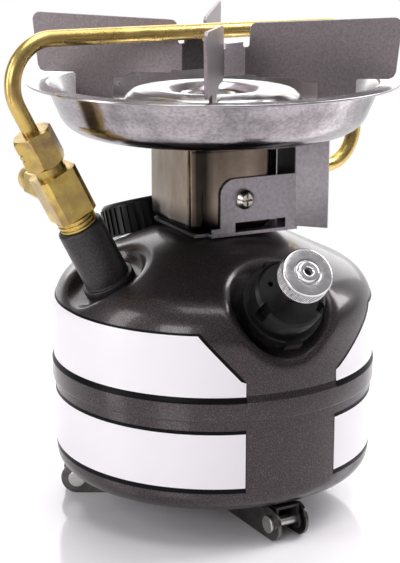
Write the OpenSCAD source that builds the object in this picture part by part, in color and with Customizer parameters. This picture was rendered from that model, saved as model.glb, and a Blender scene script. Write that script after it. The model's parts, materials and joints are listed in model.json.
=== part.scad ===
// Single burner gasoline camping stove with a round fuel tank, hand pump,
// preheat tube over the flame, bowl, four wing pot support and folding legs.
// Millimetres, Z up, floor at zero, the tank axis on Z, the pump side to the front.

/* [Tank] */
// Radius of the upper tank wall
tank_r = 49.9; // [48:0.1:53]
// Sheet thickness of both tank shells
tank_wall = 0.8; // [0.6:0.1:1.2]
// Height of the flat tank floor above the ground
tank_floor_z = 10.5; // [10.5:0.1:11]
// Radius of the rounded lower corner
tank_corner_r = 7.5; // [5:0.5:9]
// Lower edge of the skirt where the shells overlap
skirt_z = 40.8; // [38:0.1:43]
// Upper edge of that skirt
skirt_top_z = 47; // [46:0.1:49]
// Height at which the wall turns into the shoulder
shoulder_z = 67.5; // [66:0.1:69]
// Radius of the shoulder
shoulder_r = 7; // [6:0.1:8]
// Radius of the flat seat on top of the dome
seat_r = 18; // [17:0.1:19]
// Height of the flat seat
seat_z = 87; // [86.5:0.1:87.5]
// Slope of the dome in degrees
dome_slope = 25.4; // [25:0.1:26]

/* [Pump] */
// Direction of the pump around the tank in degrees
pump_az = -69; // [-75:1:-63]
// Lean of the pump from upright in degrees
pump_tilt = 51; // [48:1:54]
// Distance of the pump collar inside the tank wall
pump_inset = 5.1; // [4.5:0.1:5.5]
// Height of the pump collar
pump_z = 73.6; // [73:0.1:75]
// Depth of the pocket floor below the collar
pump_pocket = 11; // [10:0.1:12]
// Outside radius of the pump barrel
barrel_r = 8; // [7.5:0.1:8.5]
// Length of the pump barrel below the collar
barrel_len = 62; // [56:1:64]
// Radius of the pump collar
collar_r = 12; // [11.5:0.1:12.5]
// Radius of the pump cap
cap_r = 10.5; // [10:0.1:11]
// Height of the pump cap
cap_h = 7; // [6:0.1:8]
// Radius of the plunger rod
rod_r = 2.5; // [2:0.1:3]
// Radius of the pump knob
knob_r = 7.5; // [7:0.1:8.5]
// Thickness of the pump knob
knob_t = 5; // [4.5:0.1:6]
// Distance of the knob face from the collar
knob_out = 21; // [16:0.5:24]

/* [Valve] */
// Direction of the valve around the tank in degrees
valve_az = 210; // [206:1:214]
// Lean of the valve from upright in degrees
valve_tilt = 27; // [26:0.5:28]
// Distance of the valve boss inside the tank wall
valve_inset = 12.3; // [11.8:0.1:12.8]
// Height of the valve boss base
valve_z = 77; // [76.5:0.1:77.5]
// Radius of the valve boss
boss_r = 7; // [6.5:0.1:7.5]
// Length of the boss above its base
boss_len = 17.5; // [16:0.1:19]
// Width across the flats of the valve body
body_af = 12; // [11:0.1:13]
// Length of the valve body
body_len = 14.5; // [13:0.1:16]
// Width across the flats of the nut
nut_af = 11; // [10.5:0.1:12]
// Length of the nut
nut_len = 10.5; // [9:0.1:12]
// Length of the control lever
lever_len = 18; // [14:0.5:20]

/* [Preheat tube] */
// Outside radius of the tube
tube_r = 2.38; // [2.2:0.02:2.4]
// Bore radius of the tube
tube_bore = 1.5; // [1.2:0.1:1.7]
// Height of the run over the burner at the valve end
tube_top_z = 147.5; // [147.2:0.1:148.5]
// Fall of that run towards its far end
tube_fall = 2; // [1:0.1:2.2]
// Height of the lower run into the jet
tube_low_z = 100.5; // [99:0.1:102]
// Distance of the down run from the tank axis
tube_out = 61.3; // [60.5:0.1:64]
// Direction of the down run in degrees
tube_az = 40.6; // [39:0.1:42]
// Bend radius at the valve end
bend_valve = 13; // [11:0.5:15]
// Bend radius of the other two bends
bend_far = 12; // [10:0.5:13]

/* [Filler] */
// Direction of the filler around the tank in degrees
filler_az = 130; // [126:1:134]
// Lean of the filler from upright in degrees
filler_tilt = 18; // [16:1:20]
// Distance of the filler inside the tank wall
filler_inset = 16.9; // [16.4:0.1:17.2]
// Height of the filler pocket floor
filler_z = 78.4; // [78:0.1:79]
// Radius of the filler cap
filler_cap_r = 14; // [13.5:0.1:14.5]
// Height of the filler cap
filler_cap_h = 10.5; // [10:0.1:12]

/* [Burner] */
// Width of the burner box
box_w = 28; // [26:0.5:28]
// Depth of the burner box
box_d = 32; // [28:0.5:33]
// Direction of the burner box in degrees
box_az = 27; // [22:1:32]
// Height of the top of the burner box
box_top_z = 117.4; // [116:0.1:118]
// Sheet thickness of the box
box_wall = 0.6; // [0.5:0.1:0.8]
// Rounding of the upright box corners
box_corner = 4; // [3:0.5:5]
// Outer radius of the bowl brim
brim_r = 56.3; // [55:0.1:57.5]
// Width of the flat bowl brim
brim_w = 5.9; // [5:0.1:6.5]
// Taper of the bowl wall towards the bottom
bowl_taper = 2.9; // [2:0.1:3.5]
// Radius of the rounded bowl bottom
bowl_arc = 9; // [8:0.1:10]
// Rise of the brim above the bowl bottom
bowl_h = 15.3; // [14.5:0.1:16]
// Sheet thickness of the bowl
bowl_wall = 0.7; // [0.5:0.1:0.9]
// Outer radius of the bright burner crown
crown_r = 29.5; // [28.5:0.1:30]
// Outer radius of the flame rings
ring_r = 24; // [22:0.5:25]
// Height of the burner crown above the flame rings
crown_h = 8; // [7:0.1:8.5]

/* [Pot support] */
// Turn of the four wings in degrees
wing_turn = -6; // [-10:1:-2]
// Sideways offset of each wing from the centre
wing_shift = 3.8; // [3.4:0.1:4.2]
// Leg of the cut corner in the middle
wing_corner = 6; // [5.5:0.1:6.5]
// Sheet thickness of the wings
wing_t = 1; // [0.8:0.1:1.2]
// Height of the wings at their outer ends
wing_top_z = 152; // [151:0.1:153]
// Height of the pieces that join two wings
wing_mid_z = 144.4; // [143.5:0.1:144.8]
// Radius of the outer wing ends
wing_out = 56; // [55:0.1:57]

/* [Legs] */
// Distance of the leg pins inside the tank wall
leg_inset = 6.4; // [6:0.1:7]
// Height of the leg pins
leg_pin_z = 5.1; // [5:0.1:5.1]
// Length of a leg from its pin
leg_len = 36; // [30:1:37]
// Outside width of a leg
leg_w = 10.6; // [10:0.1:11.5]
// Sheet thickness of legs and brackets
leg_t = 1; // [0.8:0.1:1.1]
// Radius of a leg pin
pin_r = 1.5; // [1.3:0.1:1.8]

/* [Hidden] */

// Clearance of running fits
run_fit = 0.05;
// Clearance of parts that are screwed over a thread
thread_fit = 0.2;
// Small overrun of cutting tools
over = 0.5;

// Step of the lower shell inside the skirt
skirt_gap = 0.05;
lower_r = tank_r - 0.1;
skirt_r = lower_r + skirt_gap + tank_wall;
lower_in_r = lower_r - tank_wall;

pump_out = tank_r - pump_inset;
pump_p = [pump_out * cos(pump_az + 6), pump_out * sin(pump_az + 6), pump_z];
pump_floor_r = 14;
pump_flare = 7;
neck_top = -4;
flange_t = 0.8;
cap_base = neck_top + flange_t;
neck_wall = 2.3;
barrel_wall = 0.7;
barrel_end = -barrel_len - 2;
cup_at = -46;
cup_t = 6;
rod_end = knob_out - 1.8;

valve_out = tank_r - valve_inset;
valve_p = [valve_out * cos(valve_az), valve_out * sin(valve_az), valve_z];
valve_floor = -4;
valve_floor_r = 10.5;
valve_flare = 4;
shank_r = 5;
thread_len = 4;
thread_r = 5.85;
s_thread = boss_len;
s_body = s_thread + thread_len;
s_neck = s_body + body_len;
s_nut = s_neck + 3;
s_end = s_nut + nut_len;
s_male = s_nut + 7;
s_stem = s_body + 8;
male_r = 4.05;
neck_r = 4.5;
bore_r = 1.5;
bonnet_af = 9.6;
bonnet_out = 17;
stem_r = 1.6;
stem_end = 23;
lever_in = 18;
lever_t = 5;
lever_turn = 12;
pickup_r = 1.8;
pickup_bore = 1.2;
pickup_gap = 6.8;
pickup_top = -2;
pickup_end = -(valve_z - tank_floor_z - pickup_gap) / cos(valve_tilt);

filler_out = tank_r - filler_inset;
filler_p = [filler_out * cos(filler_az), filler_out * sin(filler_az), filler_z];
filler_floor_r = 15.5;
filler_flare = 2.5;
filler_neck_r = 11;
filler_bore = 9;
filler_neck_h = 8;
gasket_t = 1.2;

plate_t = 1;
plate_z = seat_z;
box_z = plate_z + plate_t;
bowl_z = box_top_z;
brim_z = bowl_z + bowl_h;
bowl_top_r = brim_r - brim_w;
bowl_low_r = bowl_top_r - bowl_taper;
bowl_hole = 11;
bracket_t = 0.9;
side_screw_r = 1.5;
side_screw_x = 3;
side_screw_z = 98;
side_screw_l = 4.5;
bracket_left = 5;
bracket_right = 21.5;
bracket_top_z = 104.5;
bracket_corner = 5;
bracket_foot_w = 3;
bracket_foot_h = 1.6;
bracket_flange_w = 10.5;
bracket_return_w = 10.5;
bracket_slot_w = 17.3;
bracket_slot_h = 3;
plate_inset = 1.5;
plate_gap = 0.6;
plate_tab_w = 14;
jet_pass_r = 4.5;
stud_drop = 5.4;
screw_grip = 8;
screw_head_r = 4.2;
screw_head_h = 1.4;
screw_cone_h = 1;
pin_head_h = 1;
pin_lip = 1.2;
stud_r = 3.2;
stud_top = bowl_z - stud_drop;
screw_r = 2;
jet_r = 23;
tab_at = 20;
wave_t = 1.6;
flat_t = 0.5;
stack_n = 2;
crown_t = 0.7;
crown_dish = 10.3;
stack_top = bowl_z + bowl_wall + stack_n * (wave_t + flat_t);

tube_thin = 0.03;
valve_d = [sin(valve_tilt) * cos(valve_az), sin(valve_tilt) * sin(valve_az), cos(valve_tilt)];
c1 = valve_p + valve_d * (tube_top_z - valve_z) / valve_d[2];
c2 = [tube_out * cos(tube_az), tube_out * sin(tube_az), tube_top_z - tube_fall];
c3 = [c2[0], c2[1], tube_low_z];
c4 = [jet_r * cos(tube_az), jet_r * sin(tube_az), tube_low_z];
tube_start = valve_p + valve_d * s_male;

wing_in = wing_shift + wing_corner;
wing_seg_z = brim_z + 1.9;

leg_out = tank_r - leg_inset;
leg_az = [-60, 60, 180];

function unit(v) = v / norm(v);

// Places children with their Z along a leaning axis
module lean(p, az, tilt) {
    translate(p)
        rotate([0, tilt, az])
            children();
}

module on_pump() {
    lean(pump_p, pump_az, pump_tilt)
        children();
}

module on_valve() {
    lean(valve_p, valve_az, valve_tilt)
        children();
}

module on_filler() {
    lean(filler_p, filler_az, filler_tilt)
        children();
}

// Round bar from one height to another
module bar(r, z0, z1) {
    translate([0, 0, z0])
        cylinder(r = r, h = z1 - z0);
}

// Hexagon bar with both ends chamfered
module hex_bar(af, z0, z1) {
    hr = af / sqrt(3);
    intersection() {
        translate([0, 0, z0])
            cylinder(r = hr, h = z1 - z0, $fn = 6);
        translate([0, 0, z0])
            cylinder(r1 = af / 2, r2 = af / 2 + (z1 - z0), h = z1 - z0);
        translate([0, 0, z0])
            cylinder(r1 = af / 2 + (z1 - z0), r2 = af / 2, h = z1 - z0);
    }
}

// Straight run of the tube between two points
module tube_run(a, b, r) {
    d = b - a;
    len = norm(d);
    translate(a)
        rotate([0, acos(d[2] / len), atan2(d[1], d[0])])
            cylinder(r = r, h = len);
}

// Bend of the tube at a corner, from one heading to another, a little drawn
// thin by the bending and lapped into both runs
module tube_bend(p, a, b, bend, r) {
    lap = 2;
    turn = acos(a * b);
    start = p - a * bend * tan(turn / 2);
    m = unit(cross(a, b));
    c = cross(m, a);
    mid = start + c * bend;
    multmatrix([[-c[0], a[0], m[0], mid[0]],
        [-c[1], a[1], m[1], mid[1]],
        [-c[2], a[2], m[2], mid[2]]])
        rotate([0, 0, -lap])
            rotate_extrude(angle = turn + 2 * lap)
                translate([bend, 0])
                    circle(r = r - tube_thin);
}

// The whole way of the tube from the nut to the jet
module tube_path(r, ends) {
    d0 = valve_d;
    d1 = unit(c2 - c1);
    d2 = [0, 0, -1];
    d3 = [-cos(tube_az), -sin(tube_az), 0];
    t1 = bend_valve * tan(acos(d0 * d1) / 2);
    t2 = bend_far * tan(acos(d1 * d2) / 2);
    tube_run(tube_start - d0 * ends, c1 - d0 * t1, r);
    tube_run(c1 + d1 * t1, c2 - d1 * t2, r);
    tube_run(c2 + d2 * t2, c3 - d2 * bend_far, r);
    tube_run(c3 + d3 * bend_far, c4 + d3 * ends, r);
    tube_bend(c1, d0, d1, bend_valve, r);
    tube_bend(c2, d1, d2, bend_far, r);
    tube_bend(c3, d2, d3, bend_far, r);
}

// Trumpet shaped pocket cutter, grown outward by the sheet for the inner face
module pocket(floor_r, flare, floor_s, grow) {
    mouth_r = floor_r + flare;
    reach = tank_r;
    arc_s = floor_s + 2;
    bend = flare - grow;
    arc = [for (a = [0:15:90]) [mouth_r - bend * cos(a), arc_s + bend * sin(a)]];
    rotate_extrude()
        polygon(concat([[0, floor_s - grow], [floor_r + grow, floor_s - grow]], arc,
            [[mouth_r, arc_s + reach], [0, arc_s + reach]]));
}

module pockets(grow) {
    on_pump()
        pocket(pump_floor_r, pump_flare, -pump_pocket, grow);
    on_valve()
        pocket(valve_floor_r, valve_flare, valve_floor, grow);
    on_filler()
        pocket(filler_floor_r, filler_flare, 0, grow);
}

// Wall, shoulder and dome of the upper tank as points, shrunk by an amount
function top_path(o) =
    let (k = shoulder_r - o,
        tz = shoulder_z + k * cos(dome_slope),
        tx = tank_r - shoulder_r + k * sin(dome_slope),
        rise = seat_z - o - tz)
    concat([for (a = [90:-8:dome_slope + 4])
        [tank_r - shoulder_r + k * sin(a), shoulder_z + k * cos(a)]],
        [[tx, tz], [tx - rise / tan(dome_slope), seat_z - o], [0, seat_z - o]]);

module tank_upper() {
    color([0.2, 0.18, 0.18])
        difference() {
            rotate_extrude()
                polygon(concat([[0, skirt_z], [skirt_r, skirt_z], [skirt_r, skirt_top_z],
                    [tank_r, skirt_top_z + tank_wall]], top_path(0)));
            pockets(0);
            difference() {
                rotate_extrude()
                    polygon(concat([[0, skirt_z - over], [lower_r + skirt_gap, skirt_z - over],
                        [lower_r + skirt_gap, skirt_top_z], [tank_r - tank_wall, skirt_top_z]],
                        top_path(tank_wall)));
                pockets(tank_wall);
            }
            on_pump()
                bar(barrel_r + thread_fit, -pump_pocket - 8, -pump_pocket + 3);
            on_valve()
                bar(shank_r + run_fit, valve_floor - 6, valve_floor + 2);
            on_filler()
                bar(filler_bore, -8, 3);
        }
}

module tank_lower() {
    color([0.2, 0.18, 0.18])
        rotate_extrude()
            difference() {
                lower_2d(0);
                lower_2d(tank_wall);
            }
}

// Outline of the lower tank as a half section, shrunk by an amount
module lower_2d(o) {
    cz = tank_floor_z + tank_corner_r;
    k = tank_corner_r - o;
    top = skirt_top_z + (o > 0 ? over : 0);
    intersection() {
        union() {
            translate([0, tank_floor_z + o])
                square([lower_r - tank_corner_r, top - tank_floor_z - o]);
            translate([0, cz])
                square([lower_r - o, top - cz]);
            translate([lower_r - tank_corner_r, cz])
                circle(r = k);
        }
        square([100, 100]);
    }
}

module pump_neck() {
    color([0.2, 0.18, 0.18])
        on_pump()
            difference() {
                bar(barrel_r + neck_wall, -pump_pocket, neck_top);
                bar(barrel_r + thread_fit, -pump_pocket - over, neck_top + over);
            }
}

module pump_barrel() {
    color([0.75, 0.74, 0.7])
        on_pump()
            difference() {
                union() {
                    bar(barrel_r, barrel_end + 2, neck_top + flange_t);
                    bar(barrel_r + neck_wall, neck_top, neck_top + flange_t);
                }
                bar(barrel_r - barrel_wall, barrel_end, neck_top + 2);
            }
}

module pump_check_valve() {
    color([0.7, 0.55, 0.25])
        on_pump()
            difference() {
                union() {
                    bar(barrel_r, barrel_end, barrel_end + 2);
                    bar(3, barrel_end - 4, barrel_end);
                }
                bar(0.8, barrel_end - 5, barrel_end + 3);
            }
}

module pump_cap() {
    tab_w = 5;
    tab_r = collar_r + 1.2;
    color([0.06, 0.06, 0.06])
        on_pump()
            difference() {
                union() {
                    bar(collar_r, cap_base, 0);
                    bar(cap_r, 0, cap_h - 1);
                    translate([0, 0, cap_h - 1])
                        cylinder(r1 = cap_r, r2 = cap_r - 1, h = 1);
                    for (a = [0, 180])
                        rotate([0, 0, a])
                            translate([0, -tab_w / 2, cap_base])
                                cube([tab_r, tab_w, -cap_base]);
                }
                bar(rod_r + run_fit, cap_base - over, cap_h + over);
                for (a = [55, 175, 295])
                    rotate([0, 0, a])
                        translate([cap_r - 2.2, -1.6, 1.2])
                            cube([4, 3.2, cap_h]);
                rotate([0, 0, 240])
                    translate([cap_r - 4, 0, cap_h - 2])
                        cylinder(r = 0.8, h = 4);
            }
}

module pump_rod() {
    color([0.75, 0.74, 0.72])
        on_pump()
            difference() {
                bar(rod_r, cup_at, rod_end);
                bar(0.9, cup_at - over, rod_end - 3);
            }
}

module pump_cup() {
    color([0.4, 0.27, 0.15])
        on_pump()
            difference() {
                bar(barrel_r - barrel_wall - run_fit, cup_at - cup_t, cup_at);
                bar(barrel_r - barrel_wall - 1.4, cup_at - cup_t - over, cup_at - 1.6);
            }
}

module pump_knob() {
    ribs = 40;
    hub = 0.8;
    color([0.82, 0.82, 0.82])
        on_pump()
            difference() {
                union() {
                    bar(knob_r - 0.4, knob_out - knob_t, knob_out - 0.6);
                    translate([0, 0, knob_out - 0.6])
                        cylinder(r1 = knob_r - 0.4, r2 = knob_r - 1, h = 0.6);
                    bar(3, knob_out - 0.2, knob_out + hub);
                    bar(4, knob_out - knob_t - 2, knob_out - knob_t);
                    for (i = [0:ribs - 1])
                        rotate([0, 0, i * 360 / ribs])
                            translate([knob_r - 0.9, -0.3, knob_out - knob_t + 0.5])
                                cube([0.9, 0.6, knob_t - 1.3]);
                }
                bar(rod_r + run_fit, knob_out - knob_t - 3, rod_end);
                bar(1.2, knob_out - 0.6, knob_out + 2);
            }
}

module filler_neck() {
    color([0.75, 0.72, 0.66])
        on_filler()
            difference() {
                union() {
                    bar(filler_neck_r, 0, filler_neck_h);
                    bar(filler_neck_r + 2, 0, 0.8);
                }
                bar(filler_bore, -over, filler_neck_h + over);
            }
}

module filler_gasket() {
    color([0.1, 0.1, 0.1])
        on_filler()
            difference() {
                bar(filler_neck_r, filler_neck_h, filler_neck_h + gasket_t);
                bar(filler_bore - 0.6, filler_neck_h - over, filler_neck_h + gasket_t + over);
            }
}

module filler_cap() {
    ribs = 36;
    z0 = 1.2;
    z1 = z0 + filler_cap_h;
    zi = filler_neck_h + gasket_t;
    color([0.07, 0.07, 0.07])
        on_filler()
            difference() {
                union() {
                    bar(filler_cap_r - 0.5, z0, z1 - 1);
                    translate([0, 0, z1 - 1])
                        cylinder(r1 = filler_cap_r - 0.5, r2 = filler_cap_r - 1.5, h = 1);
                    for (i = [0:ribs - 1])
                        rotate([0, 0, i * 360 / ribs])
                            translate([filler_cap_r - 1, -0.5, z0 + 0.4])
                                cube([1, 1, filler_cap_h - 2]);
                }
                bar(filler_neck_r + thread_fit, z0 - over, zi);
                bar(5, z1 - 0.8, z1 + over);
            }
}

module valve_boss() {
    color([0.2, 0.19, 0.19])
        on_valve()
            difference() {
                union() {
                    bar(boss_r, valve_floor, boss_len - 0.6);
                    translate([0, 0, boss_len - 0.6])
                        cylinder(r1 = boss_r, r2 = boss_r - 0.6, h = 0.6);
                    bar(boss_r + 1.2, valve_floor, valve_floor + 2);
                }
                bar(shank_r + run_fit, valve_floor - over, boss_len + over);
            }
}

module fuel_pickup() {
    color([0.72, 0.56, 0.27])
        on_valve()
            difference() {
                bar(pickup_r, pickup_end, pickup_top);
                bar(pickup_bore, pickup_end - over, pickup_top + over);
            }
}

module valve_body() {
    color([0.72, 0.56, 0.27])
        on_valve()
            difference() {
                union() {
                    bar(shank_r, pickup_top, s_thread);
                    bar(thread_r - 0.5, s_thread, s_body);
                    for (i = [0:2])
                        bar(thread_r, s_thread + 0.2 + i * 1.3, s_thread + 0.9 + i * 1.3);
                    intersection() {
                        translate([-body_af / 2, -body_af / 2, s_body])
                            cube([body_af, body_af, body_len]);
                        bar(body_af * 0.62, s_body, s_neck);
                    }
                    bar(neck_r, s_neck, s_nut);
                    bar(male_r, s_nut, s_male);
                }
                bar(bore_r, pickup_top - over, s_male + over);
                translate([0, 0, s_stem])
                    rotate([90, 0, 0])
                        cylinder(r = stem_r + run_fit, h = body_af);
            }
}

module valve_bonnet() {
    color([0.68, 0.52, 0.25])
        on_valve()
            translate([0, 0, s_stem])
                rotate([90, 0, 0])
                    difference() {
                        hex_bar(bonnet_af, body_af / 2, bonnet_out);
                        bar(stem_r + run_fit, 0, bonnet_out + over);
                    }
}

module valve_stem() {
    color([0.75, 0.72, 0.66])
        on_valve()
            translate([0, 0, s_stem])
                rotate([90, 0, 0])
                    bar(stem_r, 2, stem_end);
}

module control_lever() {
    hub_r = 4;
    arm_w = 5.6;
    arm_t = 3.4;
    color([0.06, 0.06, 0.06])
        on_valve()
            translate([0, 0, s_stem])
                rotate([90, 0, 0])
                    rotate([0, 0, 180 - lever_turn])
                        difference() {
                            union() {
                                bar(hub_r, lever_in, lever_in + lever_t);
                                translate([-arm_w / 2, 0, lever_in])
                                    cube([arm_w, lever_len, arm_t]);
                                translate([0, lever_len, lever_in])
                                    cylinder(r = arm_w / 2, h = arm_t);
                            }
                            bar(stem_r, lever_in - over, stem_end);
                        }
}

module generator_nut() {
    slit = 0.6;
    color([0.68, 0.52, 0.25])
        on_valve()
            difference() {
                hex_bar(nut_af, s_nut, s_end);
                bar(male_r + run_fit, s_nut - over, s_male);
                bar(tube_r + run_fit, s_male - over, s_end + over);
                for (z = [s_nut + 4.2, s_nut + 6])
                    translate([nut_af / sqrt(3) - slit, -3, z])
                        cube([2, 6, slit]);
            }
}

module generator_tube() {
    color([0.78, 0.6, 0.28])
        difference() {
            tube_path(tube_r, 0);
            tube_path(tube_bore, over);
        }
}

// Places children with their Z along the lower tube run, pointing outward
module on_jet() {
    lean([0, 0, tube_low_z], tube_az, 90)
        children();
}

module generator_jet() {
    color([0.72, 0.56, 0.27])
        on_jet()
            difference() {
                union() {
                    hex_bar(7, tab_at + plate_t, jet_r + 3);
                    bar(2.4, tab_at - 4, tab_at + plate_t);
                }
                bar(tube_r + run_fit, jet_r, jet_r + 4);
                bar(1, tab_at - 1, jet_r + over);
                bar(0.4, tab_at - 5, tab_at);
            }
}

module base_plate() {
    wide = plate_tab_w;
    tab_top = box_top_z;
    front = -box_w / 2;
    lip_x = -bracket_left - bracket_foot_w;
    color([0.45, 0.43, 0.42])
        difference() {
            union() {
                translate([0, 0, plate_z])
                    rotate([0, 0, box_az])
                        translate([-box_w / 2 + plate_inset, front + plate_inset, 0])
                            cube([box_w - 2 * plate_inset, box_d - 2 * plate_inset, plate_t]);
                translate([0, 0, plate_z])
                    rotate([0, 0, box_az])
                        translate([lip_x, front - bracket_t, 0])
                            cube([bracket_right - lip_x, bracket_return_w + bracket_t, plate_t]);
                rotate([0, 0, tube_az])
                    translate([0, -wide / 2, plate_z])
                        cube([tab_at + plate_t, wide, plate_t]);
                rotate([0, 0, tube_az])
                    translate([tab_at, -wide / 2, plate_z])
                        cube([plate_t, wide, tab_top - plate_z]);
            }
            bar(stud_r + run_fit, plate_z - over, plate_z + 3);
            on_jet()
                bar(2.4 + run_fit, tab_at - 1, tab_at + 2);
            on_filler()
                bar(filler_cap_r + plate_gap, 0, filler_neck_h + gasket_t + filler_cap_h);
        }
}

module centre_stud() {
    color([0.6, 0.6, 0.6])
        difference() {
            bar(stud_r, seat_z, stud_top);
            bar(screw_r + run_fit, stud_top - 10, stud_top + over);
        }
}

module centre_nut() {
    z0 = box_z + box_wall;
    color([0.6, 0.6, 0.6])
        difference() {
            hex_bar(10, z0, z0 + 5);
            bar(stud_r + run_fit, z0 - over, z0 + 6);
        }
}

// Upright bar of the burner box with rounded corners, drawn in by an amount
module box_bar(inset, z0, z1) {
    w = box_w - 2 * inset;
    d = box_d - 2 * inset;
    r = box_corner - inset;
    rotate([0, 0, box_az])
        translate([0, (box_d - box_w) / 2, z0])
            linear_extrude(height = z1 - z0)
                union() {
                    square([w - 2 * r, d], center = true);
                    square([w, d - 2 * r], center = true);
                    for (x = [-1, 1])
                        for (y = [-1, 1])
                            translate([x * (w / 2 - r), y * (d / 2 - r)])
                                circle(r = r);
                }
}

// Places children at the bracket screw, Z pointing into the box
module at_screw() {
    rotate([0, 0, box_az])
        translate([side_screw_x, -box_w / 2, side_screw_z])
            rotate([-90, 0, 0])
                children();
}

module burner_box() {
    color([0.5, 0.4, 0.32])
        difference() {
            box_bar(0, box_z, box_top_z);
            box_bar(box_wall, box_z + box_wall, box_top_z + over);
            bar(stud_r + run_fit, box_z - over, box_z + 3);
            on_jet()
                bar(jet_pass_r, tab_at - 10, tab_at + 5);
            at_screw()
                bar(side_screw_r + run_fit, -over, 3);
        }
}

module bracket() {
    t = bracket_t;
    x0 = -bracket_left;
    x1 = bracket_right;
    z0 = plate_z + plate_t;
    z1 = bracket_top_z;
    top = box_top_z;
    corner = bracket_corner;
    foot_w = bracket_foot_w;
    foot_h = bracket_foot_h;
    flange_w = bracket_flange_w;
    return_w = bracket_return_w;
    slot_w = bracket_slot_w;
    slot_h = bracket_slot_h;
    color([0.55, 0.55, 0.56])
        rotate([0, 0, box_az])
            difference() {
                union() {
                    translate([0, -box_w / 2, 0])
                        rotate([90, 0, 0])
                            linear_extrude(height = t)
                                union() {
                                    translate([x0, z0])
                                        square([x1 - x0, z1 - z0 - corner]);
                                    translate([x0 + corner, z0])
                                        square([x1 - x0 - corner, z1 - z0]);
                                    translate([x0 + corner, z1 - corner])
                                        circle(r = corner);
                                    translate([x0 - foot_w, z0])
                                        square([foot_w + over, foot_h]);
                                }
                    translate([x1 - t, -box_w / 2 - t, z0])
                        cube([t, return_w + t, top - z0]);
                    translate([x1 - t * 0.4, -box_w / 2, z0])
                        rotate([0, 0, -45])
                            translate([0, -t, 0])
                                cube([flange_w, t, top - z0]);
                }
                rotate([0, 0, -box_az])
                    at_screw()
                        bar(side_screw_r + run_fit, -2 * t, over);
                translate([0, -box_w / 2 - 2 * t, z0 - over])
                    cube([slot_w, 3 * t, slot_h + over]);
            }
}

module bracket_screw() {
    head_r = 3;
    slot_w = 0.7;
    slot_l = 3.4;
    color([0.8, 0.8, 0.8])
        at_screw()
            translate([0, 0, -bracket_t])
                mirror([0, 0, 1])
                    difference() {
                        union() {
                            bar(head_r, 0, 1);
                            translate([0, 0, 1])
                                cylinder(r1 = head_r, r2 = 1.8, h = 1.1);
                            bar(side_screw_r, -side_screw_l, 0);
                        }
                        translate([-slot_l / 2, -slot_w / 2, 0.9])
                            cube([slot_l, slot_w, 2]);
                        translate([-slot_w / 2, -slot_l / 2, 0.9])
                            cube([slot_w, slot_l, 2]);
                    }
}

// Half section of the bowl, the path of its outside face moved in by the sheet
module bowl_2d() {
    w = bowl_wall;
    fl = bowl_low_r - bowl_arc;
    cz = bowl_z + bowl_arc;
    rim_z = brim_z - 0.9;
    dx = bowl_top_r - fl;
    dz = rim_z - cz;
    turn = 90 + atan2(dz, dx) - acos(bowl_arc / norm([dx, dz]));
    n = 7;
    low = [for (i = [0:n]) [fl + bowl_arc * sin(turn * i / n), cz - bowl_arc * cos(turn * i / n)]];
    inn = [for (i = [n:-1:0])
        [fl + (bowl_arc - w) * sin(turn * i / n), cz - (bowl_arc - w) * cos(turn * i / n)]];
    polygon(concat([[bowl_hole, bowl_z]], low,
        [[bowl_top_r, rim_z], [bowl_top_r + 0.6, brim_z - w], [brim_r, brim_z - w], [brim_r, brim_z],
            [bowl_top_r + 0.2, brim_z], [bowl_top_r - 0.7, rim_z + 0.2]],
        inn, [[bowl_hole, bowl_z + w]]));
}

module burner_bowl() {
    color([0.6, 0.6, 0.6])
        difference() {
            rotate_extrude()
                bowl_2d();
            for (a = [20, 110, 200, 290])
                rotate([0, 0, a])
                    translate([brim_r - 2.6, 0, brim_z - 3])
                        cylinder(r = 0.8, h = 5);
        }
}

module flame_rings_flat() {
    color([0.55, 0.5, 0.45])
        for (i = [0:stack_n - 1])
            translate([0, 0, bowl_z + bowl_wall + wave_t + i * (wave_t + flat_t)])
                difference() {
                    cylinder(r = ring_r, h = flat_t);
                    translate([0, 0, -over])
                        cylinder(r = crown_dish - 1, h = 2);
                }
}

module flame_rings_wave() {
    ribs = 24;
    color([0.5, 0.45, 0.4])
        for (i = [0:stack_n - 1])
            translate([0, 0, bowl_z + bowl_wall + i * (wave_t + flat_t)])
                union() {
                    difference() {
                        cylinder(r = ring_r - 0.6, h = 0.4);
                        translate([0, 0, -over])
                            cylinder(r = 13.6, h = 2);
                    }
                    for (k = [0:ribs - 1])
                        rotate([0, 0, k * 360 / ribs])
                            translate([14, -0.6, 0])
                                cube([ring_r - 15, 1.2, wave_t]);
                }
}

// Half section of the crown with its sunken middle and flat lip
module crown_2d() {
    w = crown_t;
    z = stack_top;
    h = crown_h;
    bore = screw_r + run_fit;
    d = crown_dish;
    top_r = crown_r - 10.5;
    polygon([[bore, z], [d + 0.3, z], [d + 1.3, z + 1], [d + 2.3, z + h - 3], [d + 4.7, z + h - 1.2],
        [top_r, z + h - w], [crown_r - 5.4, z + h - 1.5], [crown_r - 3.9, z + h - 2.8],
        [crown_r - 2.5, z + h - 5.3], [crown_r, z + h - 5.8], [crown_r, z + h - 5.1],
        [crown_r - 2, z + h - 4.6], [crown_r - 3.3, z + h - 2.2], [crown_r - 5, z + h - 0.8],
        [top_r, z + h], [d + 4.3, z + h - 0.5], [d + 1.6, z + h - 2.6], [d + 0.6, z + 1.2],
        [d, z + w], [bore, z + w]]);
}

module burner_crown() {
    color([0.78, 0.77, 0.75])
        rotate_extrude()
            crown_2d();
}

module burner_screw() {
    z = stack_top + crown_t;
    head_r = screw_head_r;
    cone_z = z + screw_head_h;
    color([0.7, 0.68, 0.65])
        difference() {
            union() {
                bar(screw_r, stud_top - screw_grip, z);
                bar(head_r, z, cone_z);
                translate([0, 0, cone_z])
                    cylinder(r1 = head_r, r2 = head_r - 1.2, h = screw_cone_h);
            }
            translate([-head_r - 0.8, -0.5, cone_z - 0.2])
                cube([2 * head_r + 1.6, 1, screw_cone_h + 2]);
        }
}

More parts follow.
